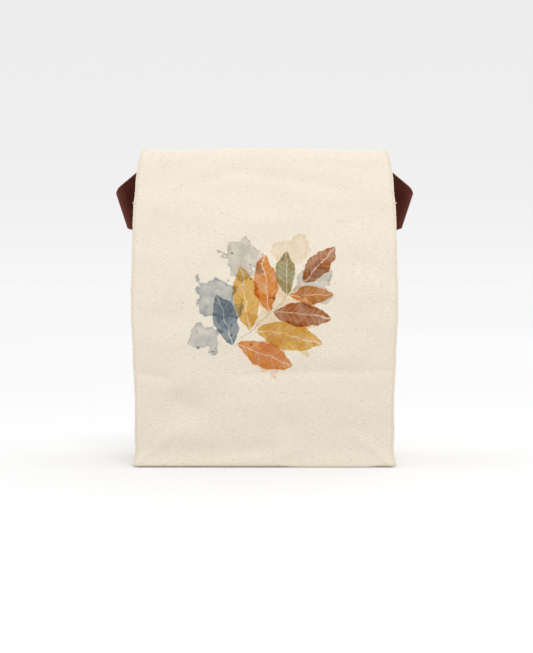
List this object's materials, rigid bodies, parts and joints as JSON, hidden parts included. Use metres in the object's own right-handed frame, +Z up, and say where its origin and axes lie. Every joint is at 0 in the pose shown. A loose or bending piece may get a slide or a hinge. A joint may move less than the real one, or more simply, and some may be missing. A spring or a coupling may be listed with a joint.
{
  "type": "lunch bag",
  "caption": "Soft canvas lunch sack standing on a flat base, with folded-in side gussets, a top rolled over to the back as a flap and a brown webbing strap that holds the flap down.",
  "frame": {"origin": "on the floor under the middle of the base", "axes": "+X to the right as the front is seen, +Y towards the back, +Z up"},
  "size_m": [0.2204, 0.106, 0.2269],
  "materials": {
    "canvas": "unbleached plain-weave cotton canvas, matte",
    "webbing": "dark brown twill webbing, low sheen"
  },
  "bodies": {
    "root": {"bottom_panel": "canvas", "front_panel": "canvas", "back_panel": "canvas", "left_gusset": "canvas", "right_gusset": "canvas", "strap": "webbing"}
  },
  "joints": []
}
